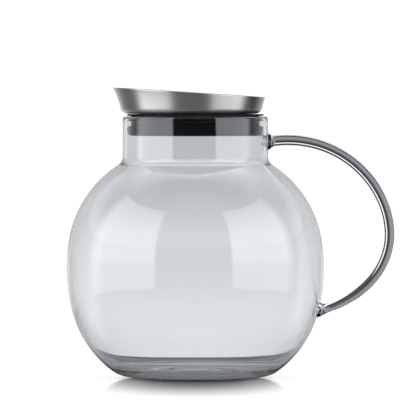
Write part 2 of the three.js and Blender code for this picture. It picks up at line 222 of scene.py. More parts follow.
def addMath(tree, operation, first, second=None):
    node = addNode(tree, "ShaderNodeMath", operation=operation)
    for i, value in enumerate((first, second)):
        if isinstance(value, (int, float)):
            node.inputs[i].default_value = value
        elif value is not None:
            tree.links.new(value, node.inputs[i])
    return node.outputs[0]


# Whether a ray's count of passes is past a whole number
def moreThan(tree, count, whole):
    return addMath(tree, "GREATER_THAN", count, whole + 0.5)


# Sum of the products of two pairs
def addPairs(tree, first, second):
    products = [addMath(tree, "MULTIPLY", a, b) for a, b in zip(first, second)]
    return addMath(tree, "ADD", *products)


def addMix(tree, share, first, second, blend="MIX"):
    node = addNode(tree, "ShaderNodeMix", data_type="RGBA", blend_type=blend)
    for key, value in ((0, share), (6, first), (7, second)):
        if isinstance(value, (float, tuple)):
            node.inputs[key].default_value = value
        else:
            tree.links.new(value, node.inputs[key])
    return node.outputs[2]


def addProduct(tree, first, second):
    return addMix(tree, 1.0, first, second, "MULTIPLY")


def addTint(tree, tone, tint):
    return addNode(tree, "ShaderNodeVectorMath", {1: tint}, {0: tone}, operation="MULTIPLY").outputs[0]


def addScale(tree, tone, factor):
    return addNode(tree, "ShaderNodeVectorMath", {"Scale": factor}, {0: tone}, operation="SCALE").outputs[0]


# Distance from the axis, counted in the half widths of an oval
def addOval(tree, place, halves):
    counted = addTint(tree, place, (1 / halves[0], 1 / halves[1], 0))
    return addNode(tree, "ShaderNodeVectorMath", links={0: counted}, operation="LENGTH").outputs["Value"]


# A value between two limits carried over to two other ends, eased unless it has to stay even
def addShare(tree, value, limits, ends=(0.0, 1.0), even=False):
    values = {1: limits[0], 2: limits[1], 3: ends[0], 4: ends[1]}
    easing = "LINEAR" if even else "SMOOTHSTEP"
    return addNode(tree, "ShaderNodeMapRange", values, {0: value}, interpolation_type=easing).outputs[0]


steelValues = {
    "lightTone": (0.8, 0.797, 0.79, 1),
    "darkTone": (0.65, 0.647, 0.64, 1),
    "roughness": 0.33,
    "spread": 0.12,
    "bump": 0.05,
    "bumpDepth": 0.0002,
    "anisotropy": 0.75,
    "brushTurn": 0.25,
    "centre": (-0.0025, 0, 0),
}
satinValues = {
    **steelValues,
    "lightTone": (0.7, 0.7, 0.695, 1),
    "darkTone": (0.6, 0.6, 0.6, 1),
    "roughness": 0.22,
    "spread": 0.08,
    "bump": 0.02,
    "anisotropy": 0.3,
    "centre": (0, 0, 0),
}
flapSteelValues = {**satinValues, "anisotropy": 0.0, "centre": (-0.0058, 0, 0)}
brushValues = {"lines": 9000.0, "drift": 14.0, "detail": 3.0, "grain": 0.6}


# Turned brush lines: noise that changes fast with radius and height and slowly round the axis
def brushGroup(v):
    number = "NodeSocketFloat"
    inputs = [("Vector", "NodeSocketVector", None),
              ("Lines", number, v["lines"]), ("Drift", number, v["drift"]),
              ("Base Roughness", number, steelValues["roughness"]),
              ("Spread", number, steelValues["spread"])]
    tree, into, out = newGroup("turnedBrush", inputs, [("Lines", number), ("Roughness", number)])
    given = into.outputs
    x, y, z = addNode(tree, "ShaderNodeSeparateXYZ", links={0: given["Vector"]}).outputs
    flat = addNode(tree, "ShaderNodeCombineXYZ", links={0: x, 1: y}).outputs[0]
    radius = addNode(tree, "ShaderNodeVectorMath", links={0: flat}, operation="LENGTH").outputs["Value"]
    fast = addMath(tree, "MULTIPLY", addMath(tree, "ADD", radius, z), given["Lines"])
    slow = addNode(tree, "ShaderNodeVectorMath", links={0: flat, "Scale": given["Drift"]}, operation="SCALE")
    drift = addNode(tree, "ShaderNodeSeparateXYZ", links={0: slow.outputs[0]}).outputs
    spot = addNode(tree, "ShaderNodeCombineXYZ", links={0: drift[0], 1: drift[1], 2: fast}).outputs[0]
    pattern = {"Scale": 1.0, "Detail": v["detail"], "Roughness": v["grain"]}
    noise = addNode(tree, "ShaderNodeTexNoise", pattern, {"Vector": spot}).outputs[0]
    uneven = addMath(tree, "MULTIPLY", addMath(tree, "SUBTRACT", noise, 0.5), given["Spread"])
    tree.links.new(noise, out.inputs["Lines"])
    tree.links.new(addMath(tree, "ADD", uneven, given["Base Roughness"]), out.inputs["Roughness"])
    return tree


turnedBrush = brushGroup(brushValues)


# Steel sheet with turned brush lines in its tone, its roughness and a faint bump
def steelMaterial(name, v):
    material, tree, out = newMaterial(name)
    place = addNode(tree, "ShaderNodeTexCoord").outputs["Object"]
    centred = addNode(tree, "ShaderNodeVectorMath", {1: v["centre"]}, {0: place}, operation="SUBTRACT")
    brush = addNode(tree, "ShaderNodeGroup", {"Base Roughness": v["roughness"], "Spread": v["spread"]},
                    {"Vector": centred.outputs[0]}, node_tree=turnedBrush).outputs
    bump = addNode(tree, "ShaderNodeBump", {"Strength": v["bump"], "Distance": v["bumpDepth"]},
                   {"Height": brush["Lines"]})
    around = addNode(tree, "ShaderNodeTangent", direction_type="RADIAL", axis="Z")
    addPrincipled(
        tree, out,
        {"Metallic": 1.0, "Anisotropic": v["anisotropy"], "Anisotropic Rotation": v["brushTurn"]},
        {"Base Color": addMix(tree, brush["Lines"], v["darkTone"], v["lightTone"]),
         "Roughness": brush["Roughness"], "Normal": bump.outputs[0], "Tangent": around.outputs[0]})
    return material


siliconeValues = {
    "light": (0.028, 0.032, 0.04, 1),
    "dark": (0.016, 0.0185, 0.0235, 1),
    "roughness": (0.36, 0.5),
    "cloud": (60.0, 4.0),  # scale and detail
    "grain": (900.0, 2.0),
    "bump": 0.06,
    "bumpDepth": 0.0002,
    "shine": 0.06,
}


# Moulded silicone: near black with a fine grain and a faint cloud of dust in its tone
def siliconeMaterial(v):
    material, tree, out = newMaterial("blackSilicone")
    place = addNode(tree, "ShaderNodeTexCoord").outputs["Object"]
    grain, cloud = [addNode(tree, "ShaderNodeTexNoise", {"Scale": v[name][0], "Detail": v[name][1]},
                            {"Vector": place}).outputs[0] for name in ("grain", "cloud")]
    bump = addNode(tree, "ShaderNodeBump", {"Strength": v["bump"], "Distance": v["bumpDepth"]},
                   {"Height": grain})
    rough = addShare(tree, cloud, (0.0, 1.0), v["roughness"], even=True)
    addPrincipled(
        tree, out, {"Specular IOR Level": v["shine"]},
        {"Base Color": addMix(tree, cloud, v["dark"], v["light"]),
         "Roughness": rough, "Normal": bump.outputs[0]})
    return material


clearValues = {
    "tint": (0.925, 0.942, 0.964, 1),
    "roughness": 0.0,
    "refraction": 1.47,
    "sheen": (1, 1, 1, 1),
    "wave": 0.02,
    "waveScale": 28.0,
    "waveDepth": 0.002,
}
rodValues = {
    **clearValues,
    "tint": (0.9, 0.935, 0.99, 1),
    "roughness": 0.02,
    "sheen": (0.35, 0.35, 0.35, 1),
    "wave": 0.0,
}


# Clear glass with a very faint blown waviness
def glassMaterial(name, v):
    material, tree, out = newMaterial(name)
    place = addNode(tree, "ShaderNodeTexCoord").outputs["Object"]
    wave = addNode(tree, "ShaderNodeTexNoise", {"Scale": v["waveScale"], "Detail": 1.0}, {"Vector": place})
    bump = addNode(tree, "ShaderNodeBump", {"Strength": v["wave"], "Distance": v["waveDepth"]},
                   {"Height": wave.outputs[0]})
    addPrincipled(
        tree, out,
        {"Base Color": v["tint"], "Roughness": v["roughness"], "IOR": v["refraction"],
         "Specular Tint": v["sheen"], "Transmission Weight": 1.0},
        {"Normal": bump.outputs[0]})
    return material


clearGlass = glassMaterial("clearGlass", clearValues)
rodGlass = glassMaterial("rodGlass", rodValues)
brushedSteel = steelMaterial("brushedSteel", steelValues)
satinSteel = steelMaterial("satinSteel", satinValues)
flapSteel = steelMaterial("flapSteel", flapSteelValues)
blackSilicone = siliconeMaterial(siliconeValues)
print("materials made")

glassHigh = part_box("glass_body")[1]
glassValues = {
    "bellyHeight": 0.0708,
    "shoulderRise": 0.0747,
    "shoulderFullness": 2.13,
    "lowerDrop": 0.0803,
    "lowerFullness": 2.36,
    "wall": 0.002,
    "heelWall": 0.0021,
    "heelWallHeight": 0.02,
    "baseThickness": 0.0021,
    "punt": 0.003,
    "heel": (0.003, 0.01),  # height and width of the blend from floor to globe
    "innerHeel": (0.0045, 0.0125),
    "neckRadius": 0.0452,
    "neckWall": 0.0024,
    "neckFillet": 0.0065,
    "ripple": (0.00003, 0.0075, 0.014),  # height, length, and how far up the inside
    "rippleStart": (0.006, 0.02),
    "wander": ((0.9, 2, 1.0), (0.6, 3, 0.4), (0.4, 5, 0.0)),  # size, waves per turn and start of each wave
    "dent": (0.0012, 0.003),  # depth and width
    "floorRows": 40,
    "heelRows": 12,
    "globeRows": 89,
    "filletRows": 14,
    "neckRows": 6,
    "lipRows": 11,
    "columns": 200,
    "samples": 20001,
    "poleGap": 1e-4,
}


# Outline of the globe: two superellipses that meet at the belly, moved along their own normal by an offset.
# The angle is -90 degrees at the bottom pole, 0 at the belly and 90 at the top pole.
def globeCurve(angle, offset):
    v = glassValues
    upper = angle >= 0
    fullness = np.where(upper, v["shoulderFullness"], v["lowerFullness"])
    rise = np.where(upper, v["shoulderRise"], -v["lowerDrop"])
    across = np.cos(angle) ** (2 / fullness)
    along = np.abs(np.sin(angle)) ** (2 / fullness)
    normal = np.stack([across ** (fullness - 1) / glassHigh.x, along ** (fullness - 1) / rise], -1)
    normal /= np.linalg.norm(normal, axis=-1, keepdims=True)
    spot = np.stack([glassHigh.x * across, v["bellyHeight"] + rise * along], -1)
    return spot + normal * np.asarray(offset)[..., None]


# Wall of the globe at an angle: even from the belly up, and a little thicker towards the heel.
def globeWall(angle):
    v = glassValues
    thicker = 1 - smoothStep(0, v["heelWallHeight"], globeCurve(angle, np.zeros_like(angle))[:, 1])
    return v["wall"] + (v["heelWall"] - v["wall"]) * thicker


# One face of the glass from its floor to the top of the neck: a flat floor, a heel blend, the globe,
# a hollow fillet tangent to globe and neck, and the straight neck.
def glassFace(offsetAt, floorHeight, heel, neckRadius, fillet, top):
    v = glassValues
    pole = np.pi / 2 - v["poleGap"]
    angle = np.linspace(-pole, pole, v["samples"])
    curve = globeCurve(angle, offsetAt(angle))
    corner = np.array([np.interp(floorHeight, curve[:, 1], curve[:, 0]), floorHeight])
    heelAngle = np.interp(floorHeight + heel[0], curve[:, 1], angle)
    upper = angle[angle > 0]
    centres = globeCurve(upper, offsetAt(upper) + fillet)
    neckAngle = np.interp(-(neckRadius + fillet), -centres[:, 0], upper)
    ends = np.array([heelAngle, neckAngle])
    heelTop, globeTop = globeCurve(ends, offsetAt(ends))
    centre = globeCurve(ends, offsetAt(ends) + fillet)[1]
    inner = corner - [heel[1], 0]
    floorRadius = np.linspace(0, inner[0], v["floorRows"], endpoint=False)
    floor = np.stack([floorRadius, np.full_like(floorRadius, floorHeight)], -1)
    t = np.linspace(0, 1, v["heelRows"], endpoint=False)[:, None]
    heelBlend = (1 - t) ** 2 * inner + 2 * t * (1 - t) * corner + t ** 2 * heelTop
    stretch = np.linspace(heelAngle, neckAngle, v["globeRows"], endpoint=False)
    start = np.arctan2(*(globeTop - centre)[::-1]) % (2 * np.pi)
    arc = np.linspace(start, np.pi, v["filletRows"])
    hollow = centre + fillet * np.stack([np.cos(arc), np.sin(arc)], -1)
    neckHeight = np.linspace(hollow[-1, 1], top, v["neckRows"] + 1)[1:]
    neck = np.stack([np.full_like(neckHeight, neckRadius), neckHeight], -1)
    return np.concatenate([floor, heelBlend, globeCurve(stretch, offsetAt(stretch)), hollow, neck])


# Closed section of the glass: outside up, half round over the rim, inside down, with a hollow underside.
def glassSection():
    v = glassValues
    rim = v["neckWall"] / 2
    top = glassHigh.z - rim
    outside = glassFace(np.zeros_like, 0.0, v["heel"], v["neckRadius"], v["neckFillet"], top)
    inside = glassFace(lambda angle: -globeWall(angle), v["baseThickness"], v["innerHeel"],
                       v["neckRadius"] - v["neckWall"], v["neckFillet"] + v["wall"], top)
    foot = outside[v["floorRows"], 0]
    for face in (outside, inside):
        under = (face[:, 0] < foot) & (face[:, 1] < 2 * v["baseThickness"])
        share = face[under, 0] / foot
        face[under, 1] += v["punt"] * (1 - share ** 2) ** 2
    arc = np.linspace(0, np.pi, v["lipRows"] + 2)[1:-1]
    lip = np.stack([v["neckRadius"] - rim + rim * np.cos(arc), top + rim * np.sin(arc)], -1)
    return np.concatenate([outside, lip, inside[::-1]])


handleValues = {
    "drop": 0.0156,
    "rise": math.radians(9.5),
    "topPull": 0.0446,
    "reach": 0.0409,
    "bellyRise": 0.0183,
    "upperPull": 0.0317,
    "lowerPull": 0.0216,
    "footDrop": 0.0299,
    "footSink": 0.0072,
    "footRise": math.radians(11),
    "footPull": 0.0316,
    "topRadius": 0.0033,
    "footRadius": 0.0028,
    "topWeld": (0.0054, 0.002),  # radius at the glass and length along the rod
    "footWeld": (0.0047, 0.003),
    "sunk": 0.0009,
    "standOff": 0.00005,
    "crowding": 0.75,
    "samples": 2000,
    "faceSamples": 8000,
    "faceGap": 1e-3,
    "rows": 300,
    "columns": 80,
}


# Cubic curve from a to d, pulled towards b and c.
def bezier(a, b, c, d, count):
    t = np.linspace(0, 1, count)[:, None]
    return (1 - t) ** 3 * a + 3 * t * (1 - t) ** 2 * b + 3 * t ** 2 * (1 - t) * c + t ** 3 * d


# A step of a given length at an angle above the level, in the XZ plane.
def stride(angle, length):
    return length * np.array([math.cos(angle), math.sin(angle)])


# Middle line of the rod: two cubic curves in the XZ plane that end inside the glass walls,
# and the angle at which the globe's normal points inwards at the foot.
def handlePath():
    v = handleValues
    start = np.array([glassValues["neckRadius"], glassHigh.z - v["drop"]])
    far = np.array([glassHigh.x + v["reach"], glassValues["bellyHeight"] + v["bellyRise"]])
    foot = np.array([glassHigh.x - v["footSink"], glassValues["bellyHeight"] - v["footDrop"]])
    topPull, footPull = stride(v["rise"], v["topPull"]), stride(v["footRise"], v["footPull"])
    upper = bezier(start, start + topPull, far + [0, v["upperPull"]], far, v["samples"])
    lower = bezier(far, far - [0, v["lowerPull"]], foot + footPull, foot, v["samples"])
    path = np.concatenate([start[None] - stride(v["rise"], v["sunk"]), upper, lower[1:]])
    angle = np.linspace(-np.pi / 2 + v["faceGap"], 0, v["faceSamples"])
    face = globeCurve(angle, np.full_like(angle, -v["sunk"]))
    outside = path[:, 0] > np.interp(path[:, 1], face[:, 1], face[:, 0], right=0)
    path = path[:np.nonzero(outside)[0].max() + 1]
    footAngle = np.interp(path[-1, 1], face[:, 1], angle)
    onFace, outwards = globeCurve(np.full(2, footAngle), np.array([0, 1]))
    return path, np.arctan2(*(onFace - outwards)[::-1])


# Rod: a circle carried along its middle line. Near its ends it flares, and its rings lean over
# until they lie along the glass, a little under its outer face.
def handleGrid():
    v = handleValues
    path, inwards = handlePath()
    length = np.concatenate([[0], np.cumsum(np.linalg.norm(np.diff(path, axis=0), axis=1))])
    ease = np.linspace(0, 1, v["rows"])
    ease = ease - v["crowding"] * np.sin(2 * np.pi * ease) / (2 * np.pi)  # rows crowd towards both ends
    at = length[-1] * ease
    spot = np.stack([np.interp(at, length, path[:, i]) for i in (0, 1)], -1)
    tangent = np.gradient(spot, at, axis=0)
    lean = np.unwrap(np.arctan2(tangent[:, 1], tangent[:, 0]))
    inwards += 2 * np.pi * np.round((lean[-1] - inwards) / (2 * np.pi))
    free = np.clip(np.minimum(at, length[-1] - at) - v["sunk"], 0, None)
    first = at < length[-1] / 2
    wide, long = [np.where(first, top, foot) for top, foot in zip(v["topWeld"], v["footWeld"])]
    weld = np.exp(-(free / long) ** 2)
    lean = lean + weld * (np.where(first, 0, inwards) - lean)
    radius = v["topRadius"] + (v["footRadius"] - v["topRadius"]) * ease
    radius = radius + (wide - radius) * weld
    side = np.stack([-np.sin(lean), np.cos(lean)], -1) * radius[:, None]
    turn = fullTurn(v["columns"])
    flat = spot[:, None] + side[:, None] * np.cos(turn)[None, :, None]
    return capped(np.stack([flat[..., 0], radius[:, None] * np.sin(turn), flat[..., 1]], -1))


# The glass in the round. Low inside, faint waves run along the section and wander a little round the axis,
# and the inside swells a little behind each end of the handle.
def glassGrid(handle):
    v = glassValues
    profile = glassSection()
    grid = lathe(profile, v["columns"])
    height, length, reach = v["ripple"]
    inside = np.arange(len(profile)) > len(profile) // 2
    low = inside & (profile[:, 1] < reach)
    along = np.concatenate([[0], np.cumsum(np.linalg.norm(np.diff(profile, axis=0), axis=1))])
    turn = fullTurn(v["columns"])
    wander = sum(size * np.sin(waves * turn + start) for size, waves, start in v["wander"])
    fade = np.sqrt(np.clip(1 - profile[low, 1] / reach, 0, 1))
    fade = fade * smoothStep(*v["rippleStart"], profile[low, 0])
    grid[low, :, 2] += height * fade[:, None] * np.sin(2 * np.pi * along[low, None] / length + wander)
    deep, wide = v["dent"]
    for spot in (handle[1].mean(0), handle[-2].mean(0)):
        near = np.exp(-((grid - spot) ** 2).sum(-1) / wide ** 2) * inside[:, None]
        grid[..., 0] -= deep * near
    return grid


# Faces that stand outside the turned body belong to the drawn rod and take its glass.
def finishRod(mesh):
    middles = np.empty(3 * len(mesh.polygons))
    mesh.polygons.foreach_get("center", middles)
    x, y, z = middles.reshape(-1, 3).T
    section = glassSection()
    rising = section[glassValues["floorRows"]:np.argmax(section[:, 1])]
    isRod = np.hypot(x, y) > np.interp(z, rising[:, 1], rising[:, 0]) + handleValues["standOff"]
    mesh.materials.append(rodGlass)
    mesh.polygons.foreach_set("material_index", isRod.astype(np.int32))
    print("rod faces:", int(isRod.sum()))


handle = handleGrid()
body = surfacePiece("glassBodyRaw", [glassGrid(handle)], clearGlass)
rod = surfacePiece("glassRodRaw", [handle], clearGlass)
pitcher = combined("glassPitcher", body, rod, "UNION", clearGlass, 32)
finishRod(pitcher.data)
fitPiece(pitcher, "pitcher", "glass", "glass_body", "glass_handle")

sealLow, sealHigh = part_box("seal_ring")
sealValues = {
    "wall": 0.0027,
    "recess": 0.0025,
    "bulge": (0.0055, 0.0028, 0.0006, 0.0008),  # height, lower and upper rounding, and fall to the recess
    "fin": (0.0026, 0.0012, 0.0023),  # height at its root and tip, and drop under the rim
    "flange": 0.0011,
    "groove": (0.006, 0.0013, 0.001, 0.0003),  # rise, half height outside, depth, half height inside
    "boreRound": 0.0003,
    "rootRound": 0.0004,
    "finRound": 0.0005,
    "tightRound": 0.0002,
    "grooveRound": 0.0001,
    "roundSteps": 8,
    "columns": 160,
}


# Section of the seal: a full bulge with a round lower corner, a recess, a fin, a flange over the glass
# and a groove inside.
def sealSection():
    v = sealValues
    low, high, outer = sealLow.z, sealHigh.z, sealHigh.x
    collar = outer - v["recess"]
    bore = collar - v["wall"]
    rise, grooveHalf, depth, bottomHalf = v["groove"]
    groove = low + rise
    tall, corner, shoulder, fall = v["bulge"]
    root, tip, drop = v["fin"]
    fin = glassHigh.z - drop
    rootRound, finRound = v["rootRound"], v["finRound"]
    tight, fine = v["tightRound"], v["grooveRound"]
    return roundedOutline([
        (bore, low, v["boreRound"]), (outer, low, corner), (outer, low + tall, shoulder),
        (collar, low + tall + fall, rootRound), (collar, fin - root / 2, rootRound),
        (outer, fin - tip / 2, finRound), (outer, fin + tip / 2, finRound),
        (collar, fin + root / 2, rootRound),
        (collar, high - v["flange"], tight), (outer, high - v["flange"], rootRound),
        (outer, high, rootRound), (bore, high, tight),
        (bore, groove + grooveHalf, fine), (bore + depth, groove + bottomHalf, fine),
        (bore + depth, groove - bottomHalf, fine), (bore, groove - grooveHalf, fine)], v["roundSteps"])


sealGrid = lathe(sealSection(), sealValues["columns"])
seal = surfacePiece("siliconeSeal", [sealGrid], blackSilicone, 60, ring=True)
fitPiece(seal, "seal", "silicone", "seal_ring")

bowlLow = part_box("lid_bowl")[0]
bowlValues = {
    "sheet": 0.0008,
    "shift": 0.0025,
    "floorRadius": 0.0398,
    "corner": 0.0044,
    "lean": math.radians(16),
    "backHeight": 0.0104,
    "frontHeight": 0.0164,
    "flare": 0.0011,
    "focus": 3,
    "portRadius": 0.023,
    "portX": -0.0058,
    "floorRows": 7,
    "cornerRows": 11,
    "wallRows": 26,
    "lipRows": 7,
    "columns": 240,
}


# Bowl: rows run out along the floor, round the corner and up the leaning wall to a slanted rim,
# over the sheet's rounded edge, and back down inside to the port. The wall flares towards the spout.
def bowlGrid():
    v = bowlValues
    turn = fullTurn(v["columns"])
    lean = math.tan(v["lean"])
    foot = v["floorRadius"] + v["corner"] * math.cos(v["lean"])
    footHeight = v["corner"] * (1 - math.sin(v["lean"]))
    backRadius = foot + (v["backHeight"] - footHeight) * lean
    frontRadius = foot + (v["frontHeight"] - footHeight) * lean
    slant = (v["frontHeight"] - v["backHeight"]) / (frontRadius + backRadius)
    pull = slant * np.cos(turn)
    rim = (v["backHeight"] + slant * backRadius + pull * (foot - footHeight * lean)) / (1 - pull * lean)
    spout = ((1 + np.cos(turn)) / 2) ** v["focus"]
    edge = v["sheet"] / 2
    level = np.zeros_like(turn)[None]

    def wallRows(share, inset):
        height = footHeight + (rim[None] - edge - footHeight) * share[:, None]
        radius = foot + (height - footHeight) * lean + v["flare"] * spout * share[:, None] ** 3
        return radius - inset / math.cos(v["lean"]), height

    def cornerRows(radius, base, angles):
        outwards = v["floorRadius"] + radius * np.sin(angles)
        return outwards + level, base + radius * (1 - np.cos(angles)) + level

    share = np.linspace(0, 1, v["wallRows"])
    outRadius, outHeight = wallRows(share, 0)
    inRadius, inHeight = wallRows(share[::-1], v["sheet"])
    over = np.linspace(0, np.pi, v["lipRows"] + 2)[1:-1, None]
    lipRadius = outRadius[-1] - edge / math.cos(v["lean"]) * (1 - np.cos(over))
    lipHeight = outHeight[-1] + edge * np.sin(over)
    bend = np.linspace(0, np.pi / 2 - v["lean"], v["cornerRows"], endpoint=False)[:, None]
    outCorner = cornerRows(v["corner"], 0, bend)
    inCorner = cornerRows(v["corner"] - v["sheet"], v["sheet"], bend[::-1])
    floorShare = np.linspace(0, 1, v["floorRows"], endpoint=False)[:, None]
    floorOut = v["portRadius"] + (v["floorRadius"] - v["portRadius"]) * floorShare + level
    floorIn = floorOut[::-1]
    radius = np.concatenate([floorOut, outCorner[0], outRadius, lipRadius, inRadius, inCorner[0], floorIn])
    height = np.concatenate([floorOut * 0, outCorner[1], outHeight, lipHeight, inHeight, inCorner[1],
                             floorIn * 0 + v["sheet"]])
    floorCentre = v["portX"] + (-v["shift"] - v["portX"]) * floorShare
    centre = np.full((len(radius), 1), -v["shift"])
    centre[:v["floorRows"]] = floorCentre
    centre[-v["floorRows"]:] = floorCentre[::-1]
    return np.stack([centre - radius * np.cos(turn), -radius * np.sin(turn), bowlLow.z + height], -1)


bowl = surfacePiece("steelBowl", [bowlGrid()], brushedSteel, 50, ring=True)
fitPiece(bowl, "lid", "brushed_steel", "lid_bowl")

skirtLow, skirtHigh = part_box("plug_skirt")
skirtValues = {
    "sheet": 0.0008,
    "bead": 0.001,
    "beadHalf": 0.0013,
    "beadRise": 0.0056,
    "beadRound": (0.0006, 0.0008),  # at its feet and at its crest
    "lip": 0.0018,
    "flange": 0.003,
    "edgeRound": 0.0003,
    "lowerRound": (0.0012, 0.0006),  # outside and inside of the lower bend
    "upperRound": (0.0008, 0.0004),
    "roundSteps": 6,
    "columns": 160,
}


# Section of the skirt, one bent sheet: a lip turned in below, a wall with a bead rolled outwards,
# a flange turned in on top.
def skirtSection():
    v = skirtValues
    low, high, sheet, edge = skirtLow.z, skirtHigh.z, v["sheet"], v["edgeRound"]
    wall = skirtHigh.x - v["bead"]
    bore = wall - sheet
    lip, flange = bore - v["lip"], bore - v["flange"]
    bead = low + v["beadRise"]
    feet, crest = v["beadRound"]

    def roll(radius, way):
        return [(radius, bead - way * v["beadHalf"], feet), (radius + v["bead"], bead, crest),
                (radius, bead + way * v["beadHalf"], feet)]

    return roundedOutline([
        (lip, low, edge), (wall, low, v["lowerRound"][0]), *roll(wall, 1), (wall, high, v["upperRound"][0]),
        (flange, high, edge), (flange, high - sheet, edge),
        (bore, high - sheet, v["upperRound"][1]), *roll(bore, -1), (bore, low + sheet, v["lowerRound"][1]),
        (lip, low + sheet, edge)], v["roundSteps"])


skirtGrid = lathe(skirtSection(), skirtValues["columns"])
skirt = surfacePiece("plugSkirt", [skirtGrid], satinSteel, 50, ring=True)
fitPiece(skirt, "lid", "polished_steel", "plug_skirt")

plateLow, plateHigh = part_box("strainer")
strainerValues = {
    "pitch": 0.0072,
    "hole": 0.0016,
    "margin": 0.0028,
    "edge": 0.0002,
    "flare": 0.0003,
    "holeColumns": 24,
    "columns": 160,
}


# One flared plug at every spot of a triangular lattice whose hole stays inside the plate's plain margin.
def strainerPlugs():
    v = strainerValues
    step = v["pitch"] * math.sqrt(3) / 2
    count = math.ceil(plateHigh.x / step)
    row, column = np.meshgrid(np.arange(-count, count + 1), np.arange(-count - 1, count + 2), indexing="ij")
    x, y = (column + 0.5 * (row % 2)) * v["pitch"], row * step
    kept = np.hypot(x, y) <= plateHigh.x - v["margin"] - v["hole"]
    hole, wide, over = v["hole"], v["hole"] + v["flare"], v["flare"] / 3
    low, high = plateLow.z, plateHigh.z
    profile = np.array([(0, low - over), (wide, low - over), (hole, low + 2 * over),
                        (hole, high - 2 * over), (wide, high + over), (0, high + over)])
    return [lathe(profile, v["holeColumns"], spot) for spot in zip(x[kept], y[kept])]


# Round plate, turned by half a column so that none of its spokes meets the corner of a hole.
def strainerDisc():
    v = strainerValues
    turn = fullTurn(v["columns"]) + np.pi / v["columns"]
    outline = plateHigh.x * np.stack([np.cos(turn), np.sin(turn)], -1)
    return plateGrid(outline, plateLow.z, plateHigh.z, v["edge"])


disc = surfacePiece("strainerRaw", [strainerDisc()], satinSteel)
plugs = surfacePiece("strainerPlugs", strainerPlugs(), satinSteel)
strainer = combined("strainerPlate", disc, plugs, "DIFFERENCE", satinSteel, 30)
fitPiece(strainer, "lid", "polished_steel", "strainer")

ringLow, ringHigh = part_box("strainer_ring")
ringValues = {"wire": 0.0006, "opening": math.radians(24), "rows": 200, "endRows": 6, "columns": 16}


# Split ring: a circle of wire carried round the axis, drawn in to a round end on both sides of the opening.
def ringGrid():
    v = ringValues
    wire = v["wire"]
    radius = ringHigh.y - wire
    length = radius * (2 * np.pi - v["opening"])
    tip = np.linspace(0, np.pi / 2, v["endRows"], endpoint=False)
    run = np.linspace(wire, length - wire, v["rows"])
    tipLength = wire * (1 - np.cos(tip))
    along = np.concatenate([tipLength, run, length - tipLength[::-1]])
    thick = wire * np.concatenate([np.sin(tip), np.ones_like(run), np.sin(tip[::-1])])
    turn = v["opening"] / 2 + along / radius
    around = fullTurn(v["columns"])
    reach = radius + thick[:, None] * np.cos(around)
    height = (ringLow.z + ringHigh.z) / 2 + thick[:, None] * np.sin(around)
    return np.stack([reach * np.cos(turn)[:, None], reach * np.sin(turn)[:, None], height], -1)


ring = surfacePiece("strainerRing", [ringGrid()], satinSteel)
fitPiece(ring, "lid", "polished_steel", "strainer_ring")

gasketLow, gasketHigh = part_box("port_gasket")
gasketValues = {
    "inset": 0.0015,
    "reach": 0.0025,
    "slack": 0.0002,
    "lip": 0.0008,
    "seatRound": 0.0005,
    "lipRound": 0.0003,
    "grooveRound": 0.0001,
    "columns": 128,
}


# Section of the gasket: a grommet with a lip above and below the bowl's floor and a groove between them.
def gasketSection():
    v = gasketValues
    low, high = gasketLow.z, gasketHigh.z
    outer = (gasketHigh.x - gasketLow.x) / 2
    inner, groove = outer - v["reach"] - v["inset"], outer - v["reach"] - v["slack"]
    under, over = low + v["lip"], high - v["lip"]
    seat, lip, fine = v["seatRound"], v["lipRound"], v["grooveRound"]
    return roundedOutline([
        (inner, low, seat), (outer, low, lip), (outer, under, lip), (groove, under, fine),
        (groove, over, fine), (outer, over, lip), (outer, high, lip), (inner, high, seat)])


gasketGrid = lathe(gasketSection(), gasketValues["columns"], ((gasketLow.x + gasketHigh.x) / 2, 0))
gasket = surfacePiece("portGasket", [gasketGrid], blackSilicone, 60, ring=True)
fitPiece(gasket, "lid", "silicone", "port_gasket")

flapLow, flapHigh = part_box("pour_flap")
pinLow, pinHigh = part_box("hinge_pin")
pinX, pinZ = (pinLow.x + pinHigh.x) / 2, (pinLow.z + pinHigh.z) / 2
flapValues = {
    "sheet": 0.0009,
    "crown": (0.0012, 0.006, 0.0195),  # rise, and the radii between which it falls
    "pinRise": 0.0011,
    "lap": 0.006,
    "tuck": 0.0004,
    "strap": 0.0008,
    "strapHalf": 0.007,
    "strapRound": 0.0002,
    "roll": 0.00165,
    "rollEnd": math.radians(183),
    "lapRows": 8,
    "dipRows": 15,
    "rollRows": 39,
    "discRows": 40,
    "edgeRows": 7,
    "columns": 160,
}


# Section of the flap's disc: a flat seat that rises smoothly to a low crown, with a half round edge.
def flapSection():
    v = flapValues
    rise, near, far = v["crown"]
    edge = v["sheet"] / 2
    radius = np.linspace(0, flapHigh.y - edge, v["discRows"])
    low = pinZ - v["pinRise"] + rise * (1 - smoothStep(near, far, radius))
    over = np.linspace(-np.pi / 2, np.pi / 2, v["edgeRows"] + 2)[1:-1]
    rim = np.stack([radius[-1] + edge * np.cos(over), low[-1] + edge + edge * np.sin(over)], -1)
    under = np.stack([radius, low], -1)
    return np.concatenate([under, rim, under[::-1] + [0, v["sheet"]]])


